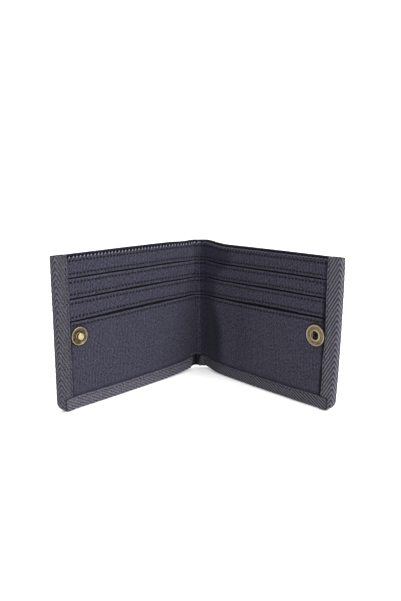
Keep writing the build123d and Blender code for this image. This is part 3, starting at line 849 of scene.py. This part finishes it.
def side_tape(side):
    word = halves[side]
    u0 = OUT_U - TAPE_FRONT
    ro = 1.35
    outer = [(u0, FRONT_N - 0.62), (u0 - 0.02, FRONT_N - 0.35), (u0 + 0.10, FRONT_N - 0.10), (u0 + 0.38, FRONT_N)]
    outer += arc(OUT_U - ro, FRONT_N - ro, ro, 90, 0)
    outer += arc(OUT_U - ro, BACK_N + ro, ro, 0, -90)
    outer += [(u0 + 0.38, BACK_N), (u0 + 0.10, BACK_N + 0.10), (u0, BACK_N + 0.30), (u0 + 0.02, BACK_N + 0.5)]
    s, o, nrm = polyline(outer, 0.26)
    if (nrm[len(nrm) // 4] @ np.array([0, 1])) < 0:
        nrm = -nrm
    w = np.minimum(s, s[-1] - s)
    inn = np.array([(u0 + 0.2, 0.0), (EDGE_U - 6, 0.0), (EDGE_U - 0.3, 0.05), (EDGE_U - 0.02, 0.35), (EDGE_U - 0.02, 3.15), (EDGE_U - 0.3, 3.45), (EDGE_U - 6, 3.5), (u0 + 0.2, 3.5)])
    zs = np.r_[np.arange(H, 8, -0.33), np.linspace(8, 0.45, 30)]
    R = 6.8
    rows_c, rows_a, rows_s = [], [], []
    for z in zs:
        lim = OUT_U
        if z < R:
            lim = OUT_U - R + math.sqrt(max(R * R - (R - z) ** 2, 0.0))
        f = (lim - u0) / (OUT_U - u0)
        endtop = float(step(H - 0.5, H, z))
        amp = AMP * (1 - 0.8 * endtop)
        h = stroke(w, np.full(len(w), z)) * amp * step(0.0, 0.5, w)
        uv = o + nrm * h[:, None]
        wave = (0.34 * float(wob(31 + side, z, 6.5)) + 0.13 * float(wob(33, z, 2.2))) * (1 - float(bump(z, SNAP_Z, 6.0)))
        if side > 0:
            wave = wave + 0.75 * float(bump(z, SNAP_Z, 7.0))
        pull = np.clip(1 - w / 6.0, 0, 1)
        uu = u0 + (uv[:, 0] - u0) * f + wave * pull
        nn = uv[:, 1] + 0.18 * wob(35 + side, z, 17.0) * np.where(uv[:, 1] > 2, 1, 0.6) * step(1.0, 6.0, w)
        # follows the pocket stack where that stands proud
        lift = float(swell(side, q_of_u(u0 + 1), z))
        nn = nn + np.where(uv[:, 1] > 2, lift, 0) * np.clip(1 - w / 8.0, 0, 1)
        # the fold at the top end is drawn in a touch
        nn = (nn - 1.75) * (1 - 0.05 * endtop) + 1.75
        iu = u0 + (inn[:, 0] - u0) * f
        allu = np.r_[uu, iu]
        alln = np.r_[nn, inn[:, 1]]
        x, y = path(side, q_of_u(draw_in(side, allu, z)), alln)
        zz = settle(side, q_of_u(allu), np.full(len(allu), z))
        rows_c.append(np.stack([x, y, zz], -1) * MM)
        rows_a.append(np.stack([np.r_[w, np.full(len(iu), 1.0)], np.full(len(allu), z), np.full(len(allu), float(side))], -1))
        # painted shade over the whole tape, stronger on the left half
        sh = np.full(len(allu), 0.33 if side < 0 else 0.17)
        # shadow on this tape round the lap of the bottom tape
        if z < TAPE_BOTTOM + 0.9:
            lapped = (1 - step(LAP_U + 0.1, LAP_U + 0.9, allu)) * (1 - step(TAPE_BOTTOM + 0.2, TAPE_BOTTOM + 0.9, z))
            sh = np.maximum(sh, 0.85 * lapped)
        rows_s.append(sh)
    verts = np.array(rows_c)
    ob = finish_mesh("side_tape_" + word, verts, loop_faces(len(zs), verts.shape[1]), np.array(rows_a), np.array(rows_s), 75)
    ob.data.materials.append(mat_tape)
    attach(ob, word + "_half")
    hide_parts("side_binding_" + word)
    return ob


def bottom_tape(side):
    word = halves[side]
    ro = 1.3
    top = TAPE_BOTTOM
    # in (n, z): front free edge, down the front, round under, up the back
    outer = [(FRONT_N - 0.55, top), (FRONT_N - 0.25, top + 0.02), (FRONT_N - 0.05, top - 0.15), (FRONT_N + 0.02, top - 0.45)]
    outer += arc(FRONT_N - ro, ro + 0.08, ro, 0, -90)
    outer += arc(BACK_N + ro, ro + 0.08, ro, -90, -180)
    outer += [(BACK_N - 0.02, top - 0.45), (BACK_N + 0.05, top - 0.15), (BACK_N + 0.25, top + 0.02), (BACK_N + 0.5, top)]
    s, o, nrm = polyline(outer, 0.26)
    if (nrm[len(nrm) // 4] @ np.array([1, 0])) < 0:
        nrm = -nrm
    w = np.minimum(s, s[-1] - s)
    inn = np.array([(0.0, top - 0.3), (0.0, 3.0), (0.05, 0.95), (0.3, 0.68), (3.2, 0.68), (3.45, 0.95), (3.5, 3.0), (3.5, top - 0.3)])
    R = 6.8
    qs = np.r_[np.arange(0, q_of_u(LAP_U) - 1.2, 0.33), np.linspace(q_of_u(LAP_U) - 1.2, q_of_u(LAP_U), 8)]
    u0 = OUT_U - TAPE_FRONT
    rows_c, rows_a, rows_s = [], [], []
    for q in qs:
        u = float(u_of_q(q))
        amp = AMP * (1 - float(step(LAP_U - 0.5, LAP_U, u)) * 0.8)
        h = stroke(w, np.full(len(w), side * q)) * amp * step(0.0, 0.5, w)
        nz = o + nrm * h[:, None]
        n, z = nz[:, 0].copy(), nz[:, 1].copy()
        front = n > 1.75
        # climbs on to the side tape and laps over it
        climb = 0.50 * float(step(u0 - 1.6, u0 + 0.4, u))
        n = n + np.where(front, climb, -climb)
        # turned end: rounded corner and rolled edge
        end = float(step(LAP_U - 1.3, LAP_U, u))
        n = n - np.where(front, 1, -1) * 0.55 * end ** 2.5
        toplift = 0.16 * float(wob(29 + side, u, 8.0)) * float(step(5, 10, u))
        topdrop = -1.6 * float(step(LAP_U - 1.8, LAP_U, u)) ** 2
        z = z + (toplift + topdrop) * np.clip((z - 2) / 6.0, 0, 1)
        low = 0.0
        if u > OUT_U - R:
            x = min(u - (OUT_U - R), R)
            low = R - math.sqrt(R * R - x * x)
        z = low + z * (top - low) / top if low > 0 else z
        zi = inn[:, 1].copy()
        zi = low + zi * (top - low) / top if low > 0 else zi
        # pinched in at the crease, and the swell of the pockets behind it
        slant = side * -0.30 * np.clip(4.5 - z, -3.5, 4.5) if side < 0 else 0.0
        t = tuck(side, q + np.where(front, -slant if side < 0 else 0.0, 0.0), np.full(len(z), 3.0))
        sw = swell(side, q, z)
        n = np.where(front, (n + sw) * (1 - 0.50 * t), n + 0.35 * t)
        z = z + 0.35 * t * (1 - np.clip(z / 5.0, 0, 1))
        ti = tuck(side, q, np.full(len(zi), 3.0))
        ni = np.where(inn[:, 0] > 1.75, (inn[:, 0] + swell(side, q, zi)) * (1 - 0.52 * ti), inn[:, 0] * (1 - 0.5 * ti))
        alln, allz = np.r_[n, ni], np.r_[z, zi]
        x, y = path(side, q_of_u(draw_in(side, np.full(len(alln), u), allz)), alln)
        rows_c.append(np.stack([x, y, settle(side, q, allz)], -1) * MM)
        rows_a.append(np.stack([np.r_[w, np.full(len(zi), 1.0)], np.full(len(alln), side * q), np.full(len(alln), 3.0 + side)], -1))
        # painted shade where the tape is pinched at the spine, with a dark line at the fold
        dk = np.r_[np.clip(0.80 * t + 0.16 * bump(side * q, -3.4, 1.2), 0, 0.93), np.zeros(len(zi))]
        fr = np.r_[np.where(front, 1.0, 0.2), np.zeros(len(zi))]
        # painted shade over the right half's tape, most near the spine, and painted light on the left half's; the back
        # of the tape takes a fifth of all this
        extra = 0.24 + 0.30 * float(bump(u, 9, 8.0)) if side > 0 else -0.10 * float(step(4, 9, u))
        rows_s.append(np.clip(dk + extra, -0.2, 0.95) * fr)
    verts = np.array(rows_c)
    ob = finish_mesh("bottom_tape_" + word, verts, loop_faces(len(qs), verts.shape[1]), np.array(rows_a), np.array(rows_s), 75)
    ob.data.materials.append(mat_tape)
    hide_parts(*(["bottom_binding_" + word] + (["bottom_binding_spine"] if side < 0 else [])))
    blend(ob, side)
    return ob


for side in halves:
    side_tape(side)
    bottom_tape(side)


# ------------------------------------------------------------------ stitches
class Stitches:
    """Many short threads, each a bent tube that dives into the cloth at both ends."""

    def __init__(self):
        self.v, self.f, self.a, self.count = [], [], [], 0

    def add(self, p, nrm, r=0.17, rise=0.12, sink=0.22, around=6):
        """p are points along the stitch in mm world space, nrm the cloth's normal there."""
        p, nrm = np.asarray(p, float), np.asarray(nrm, float)
        k = len(p)
        t = np.gradient(p, axis=0)
        t /= np.linalg.norm(t, axis=1)[:, None]
        b = np.cross(t, nrm)
        b /= np.linalg.norm(b, axis=1)[:, None]
        n = np.cross(b, t)
        s = np.linspace(-1, 1, k)
        lift = rise - (rise + sink) * np.abs(s) ** 3.2
        rad = r * (1 - 0.35 * np.abs(s) ** 4)
        c = p + n * lift[:, None]
        base = self.count
        for i in range(k):
            for j in range(around):
                a = TAU * j / around
                self.v.append(c[i] + rad[i] * (math.cos(a) * b[i] + math.sin(a) * n[i]))
                self.a.append((i / (k - 1) * 2.2, j / around, base % 97))
        for i in range(k - 1):
            for j in range(around):
                m = (j + 1) % around
                self.f.append((base + i * around + j, base + i * around + m, base + (i + 1) * around + m, base + (i + 1) * around + j))
        self.f.append(tuple(base + j for j in reversed(range(around))))
        self.f.append(tuple(base + (k - 1) * around + j for j in range(around)))
        self.count += k * around

    def make(self, name, mat):
        ob = finish_mesh(name, np.array(self.v) * MM, self.f, np.array(self.a), None, 80)
        ob.data.materials.append(mat)
        return ob


def cloth_point(side, q, z, n):
    """World point in mm and inward normal of a layer, from small differences."""
    q = np.asarray(q, float)
    z = np.broadcast_to(np.asarray(z, float), q.shape)
    n = np.broadcast_to(np.asarray(n, float), q.shape)
    q0 = q
    q = q_of_u(draw_in(side, u_of_q(q), z))
    x, y = path(side, q, n)
    x2, y2 = path(side, q, n + 0.5)
    nr = np.stack([x2 - x, y2 - y, np.zeros_like(x)], -1)
    nr /= np.linalg.norm(nr, axis=1)[:, None]
    return np.stack([x, y, settle(side, q0, z)], -1), nr


PITCH = 2.5
row_specs = {
    "top_facing": (A_TOP, None, 2.62, 0.35, "A"),
}
rows = [
    # stem, height function, front depth, share of the swell, letter, top edge it belongs to
    ("A", lambda side, q: A_TOP - 1.9, 2.62, 0.35, None),
    ("A", lambda side, q: B_TOP + mouth(side, "A", q) + 1.9, 2.62, 0.35, None),
    ("B", lambda side, q: B_TOP - 1.9, 3.02, 0.6, B_TOP),
    ("B", lambda side, q: C_TOP + mouth(side, "B", q) + 1.9, 3.02, 0.6, None),
    ("C", lambda side, q: C_TOP - 1.9, 3.42, 0.8, C_TOP),
    ("C", lambda side, q: D_TOP + mouth(side, "C", q) + 1.9, 3.42, 0.8, None),
    ("D", lambda side, q: D_TOP - 1.9, 3.80, 1.0, D_TOP),
]
OPEN = {"A": 0.0, "B": 0.35, "C": 0.35, "D": 0.60}
TOPS = {"A": A_TOP, "B": B_TOP, "C": C_TOP, "D": D_TOP}


def face_depth(side, letter, q, z, n_front, amount):
    """Depth of a strip's front at a stitch row."""
    u = u_of_q(np.asarray(q, float))
    top = TOPS[letter] + 0.10 * wob(11 + ord(letter), u, 14.0) * step(3, 9, u)
    n = n_front - 0.15
    lift = OPEN[letter] * bump(u, 58, 32) * np.clip(1 - (top - z) / 9.0, 0, 1) ** 1.5
    n = n + lift * (z > top - 9.0)
    n = n + 0.10 * wob(17 + side, u, 22.0)
    return inner(side, q, z, n, amount)


for side, word in halves.items():
    st = Stitches()
    for letter, zf, n_front, amount, _ in rows:
        first = PITCH * 0.5 if side > 0 else PITCH * 0.5
        qs = np.arange(first, q_of_u(102.0), PITCH)
        for q in qs:
            qq = np.linspace(q - 0.31 * PITCH, q + 0.31 * PITCH, 7)
            qq = np.clip(qq, 0.02, None)
            tilt = 0.16 * np.linspace(-1, 1, 7) + 0.10 * math.sin(q * 7.3)
            z = zf(side, qq) + tilt
            n = face_depth(side, letter, qq, z, n_front, amount)
            p, nr = cloth_point(side, qq, z, n)
            st.add(p, nr, r=0.15, rise=0.08, sink=0.28)
    ob = st.make("pocket_stitches_" + word, mat_thread)
    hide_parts("pocket_topstitching_" + word)
    blend(ob, side)

    # pale slanted overcast along the top edge of the inner panel
    st = Stitches()
    q = 0.6
    while q < q_of_u(102.2):
        th = np.linspace(-0.15, 1.12, 8) * math.pi
        zc, nc, rr = A_TOP - 0.30, 2.31, 0.62
        z = zc + rr * np.sin(th)
        n = nc + rr * np.cos(th)
        qq = q + np.linspace(1.05, -1.05, 8) * side * -1.0
        qq = np.clip(qq, 0.02, None)
        u = u_of_q(qq)
        z = z + 0.10 * wob(11 + ord("A"), u, 14.0) * step(3, 9, u)
        n = n + 0.10 * wob(17 + side, u, 22.0)
        nn = inner(side, qq, z, n, 0.35)
        qd = q_of_u(draw_in(side, u, z))
        x, y = path(side, qd, nn)
        x0, y0 = path(side, qd, inner(side, qq, z, np.full(8, nc), 0.35))
        nr = np.stack([x - x0, y - y0, z - zc], -1)
        nr /= np.linalg.norm(nr, axis=1)[:, None] + 1e-9
        st.add(np.stack([x, y, settle(side, qq, z)], -1), nr, r=0.34 if side < 0 else 0.28, rise=0.05, sink=0.10, around=6)
        q += 2.55 + 0.25 * math.sin(q * 1.7)
    # the right half's overcast is drawn in the dark copy of the thread: painted shade
    ob = st.make("top_edge_overcast_" + word, mat_light_thread if side < 0 else mat_dim_thread)
    blend(ob, side)

    # rows that hold the tape
    st = Stitches()
    u0 = OUT_U - TAPE_FRONT
    for z in np.arange(TAPE_BOTTOM + 1.6, H - 1.0, 2.7):
        for nf, sign in ((FRONT_N - 0.10, 1), (BACK_N + 0.10, -1)):
            zz = np.linspace(z - 1.0, z + 1.0, 6)
            wave = (0.34 * wob(31 + side, zz, 6.5) + 0.13 * wob(33, zz, 2.2)) * (1 - bump(zz, SNAP_Z, 6.0))
            if side > 0:
                wave = wave + 0.75 * bump(zz, SNAP_Z, 7.0)
            uu = u0 + 1.45 + wave * 0.72
            lift = swell(side, q_of_u(u0 + 1), zz) * 0.8 if sign > 0 else 0.0
            n = np.full(6, nf) + lift
            p, nr = cloth_point(side, q_of_u(uu), zz, n)
            st.add(p, nr * sign, r=0.15, rise=0.07, sink=0.25)
    ob = st.make("side_tape_stitches_" + word, mat_thread)
    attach(ob, word + "_half")
    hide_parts("binding_stitching_" + word)

    st = Stitches()
    for q in np.arange(7.6, q_of_u(u0 - 1.5), 2.7):
        for nf, sign in ((FRONT_N - 0.08, 1), (BACK_N + 0.10, -1)):
            qq = np.linspace(q - 1.0, q + 1.0, 6)
            zz = TAPE_BOTTOM - 1.45 + 0.16 * wob(29 + side, u_of_q(qq), 8.0) * 0.7
            n = np.full(6, nf)
            if sign > 0:
                n = (n + swell(side, qq, zz)) * (1 - 0.5 * tuck(side, qq, np.full(6, 3.0)))
            p, nr = cloth_point(side, qq, zz, n)
            st.add(p, nr * sign, r=0.15, rise=0.07, sink=0.25)
    ob = st.make("bottom_tape_stitches_" + word, mat_thread)
    blend(ob, side)

# seam up the fold, and the bar tack above the tape; they sit in the spine strip
st = Stitches()
for letter, z0, z1, n_front, amount in (("D", 11.0, D_TOP - 0.6, 3.80, 1.0), ("C", D_TOP + 1.2, C_TOP - 0.6, 3.42, 0.8), ("B", C_TOP + 1.2, B_TOP - 0.6, 3.02, 0.6), ("A", B_TOP + 1.2, A_TOP - 0.8, 2.62, 0.35)):
    for z in np.arange(z0 + 1.1, z1 - 0.9, 2.3):
        zz = np.linspace(z - 0.95, z + 0.95, 6)
        qq = np.full(6, 2.05) + 0.06 * np.linspace(-1, 1, 6)
        n = inner(-1, qq, zz, n_front - 0.02, amount)
        p, nr = cloth_point(-1, qq, zz, n)
        st.add(p, nr, r=0.16, rise=0.08, sink=0.22)
ob = st.make("spine_seam_stitches", mat_thread)
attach(ob, "spine")
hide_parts("spine_stitching")
for side, word in halves.items():
    st = Stitches()
    for s0 in (np.arange(0.75, 9.5, 1.45) if side < 0 else np.arange(0.70, 8.5, 1.45)):
        qq = np.linspace(s0 - 0.5, s0 + 0.5, 6)
        qq = np.clip(qq, 0.02, None)
        zz = 9.6 + 0.0 * qq
        n = inner(side, qq, zz, 3.80 - 0.02, 1.0)
        p, nr = cloth_point(side, qq, zz, n)
        st.add(p, nr, r=0.24, rise=0.10, sink=0.25)
    # the right half's bar tack is drawn in the dark copy of the thread: painted shade
    ob = st.make("bar_tack_" + word, mat_light_thread if side < 0 else mat_dim_thread)
    blend(ob, side)


# ------------------------------------------------------------------ snap
def world(side, u, z, n):
    return tuple(float(v) for v in place(side, np.array([q_of_u(u)]), z, n)[0])


stud_c = world(-1, SNAP_U, SNAP_Z, 3.5)
sock_c = world(1, SNAP_U, SNAP_Z, 3.5)
in_l = (S, -C, 0.0)
in_r = (-S, -C, 0.0)
brass_stud = metal("stud_brass", stud_c, in_l, (0.46, 0.39, 0.25, 1), (0.035, 0.026, 0.010, 1), (0.15, 0.115, 0.055, 1),
                   [(0.0, 1.0), (0.20, 1.0), (0.27, 0.80), (0.31, 0.02), (0.45, 0.10), (0.60, 0.16), (0.67, 0.50), (0.78, 0.62)])
brass_socket = metal("socket_brass", sock_c, in_r, (0.35, 0.295, 0.19, 1), (0.045, 0.032, 0.010, 1), (0.14, 0.105, 0.035, 1),
                     [(0.0, 0.0), (0.34, 0.0), (0.38, 0.95), (0.46, 0.80), (0.53, 0.26), (0.76, 0.36), (0.82, 0.85), (0.9, 0.80)], rough=0.36)
nodes = frame["nodes"]


def repaint(node, mat):
    ob = nodes[node]
    ob.data.materials.clear()
    ob.data.materials.append(mat)
    for p in ob.data.polygons:
        p.material_index = 0


steel_wire = steel("wire_steel")
repaint("snap_stud", brass_stud)
repaint("snap_stud_rivet", brass_stud)
repaint("snap_socket", brass_socket)
repaint("snap_socket_eyelet", brass_socket)
repaint("snap_spring", steel_wire)

# ------------------------------------------------------------------ floor, light, camera
bm = bmesh.new()
bmesh.ops.create_circle(bm, cap_ends=True, segments=96, radius=4.0)
me = bpy.data.meshes.new("floor")
bm.to_mesh(me)
bm.free()
floor = bpy.data.objects.new("floor", me)
floor.location = (0, 0, -0.00012)
bpy.context.scene.collection.objects.link(floor)
k = Nodes("pale_floor")
tc = k.node("ShaderNodeTexCoord").outputs["Object"]
n = k.noise(tc, 6.0, 2.0)
k.link(k.mix(n, (0.90, 0.90, 0.90, 1), (0.92, 0.92, 0.92, 1)), k.p.inputs["Base Color"])
k.p.inputs["Roughness"].default_value = 0.75
k.p.inputs["Specular IOR Level"].default_value = 0.2
k.p.inputs["Emission Color"].default_value = (1, 1, 1, 1)
k.p.inputs["Emission Strength"].default_value = 0.22
floor.data.materials.append(k.m)

w = bpy.data.worlds.new("studio")
w.use_nodes = True
bg = w.node_tree.nodes["Background"]
bg.inputs[0].default_value = (1.0, 1.0, 1.0, 1)
bg.inputs[1].default_value = 1.05
bpy.context.scene.world = w


def area(name, loc, target, size, power, color=(1, 1, 1)):
    li = bpy.data.lights.new(name, "AREA")
    li.shape = "RECTANGLE"
    li.size, li.size_y = size
    li.energy = power
    li.color = color
    ob = bpy.data.objects.new(name, li)
    ob.location = loc
    d = Vector(target) - Vector(loc)
    ob.rotation_euler = d.to_track_quat("-Z", "Y").to_euler()
    bpy.context.scene.collection.objects.link(ob)
    return ob


area("key", (0.75, -0.45, 0.75), (0, 0, 0.04), (0.45, 0.45), 14.0)
area("top", (0.0, 0.1, 1.1), (0, 0, 0.04), (0.9, 0.9), 8.0)
area("fill", (-0.7, -0.9, 0.45), (0, 0, 0.04), (0.7, 0.5), 1.5)

az, el, D, pan, tilt, f_px, roll = [math.radians(v) if i in (0, 1, 3, 4, 6) else v for i, v in enumerate((1.548, 12.76, 398.27, 0.049, 0.577, 575.86, 0.613))]
mid = np.array([0, 0, H / 2])
c = np.array([math.sin(az) * math.cos(el), -math.cos(az) * math.cos(el), math.sin(el)]) * D + mid
fw = (mid - c) / np.linalg.norm(mid - c)
r = np.cross(fw, [0, 0, 1]); r /= np.linalg.norm(r)
up = np.cross(r, fw)
r, fw = math.cos(pan) * r - math.sin(pan) * fw, math.sin(pan) * r + math.cos(pan) * fw
up, fw = math.cos(tilt) * up - math.sin(tilt) * fw, math.sin(tilt) * up + math.cos(tilt) * fw
r, up = math.cos(roll) * r - math.sin(roll) * up, math.sin(roll) * r + math.cos(roll) * up
c = c + np.array([0, CY - PACK, 0])
cam_data = bpy.data.cameras.new("camera")
cam_data.sensor_width = 36.0
cam_data.lens = f_px * 36.0 / 601.0
cam_data.clip_start = 0.01
cam = bpy.data.objects.new("camera", cam_data)
m = Matrix.Identity(4)
for i in range(3):
    m[i][0], m[i][1], m[i][2], m[i][3] = r[i], up[i], -fw[i], c[i] * MM
cam.matrix_world = m
bpy.context.scene.collection.objects.link(cam)
bpy.context.scene.camera = cam
bpy.context.scene.view_settings.view_transform = "Standard"
bpy.context.scene.view_settings.look = "None"
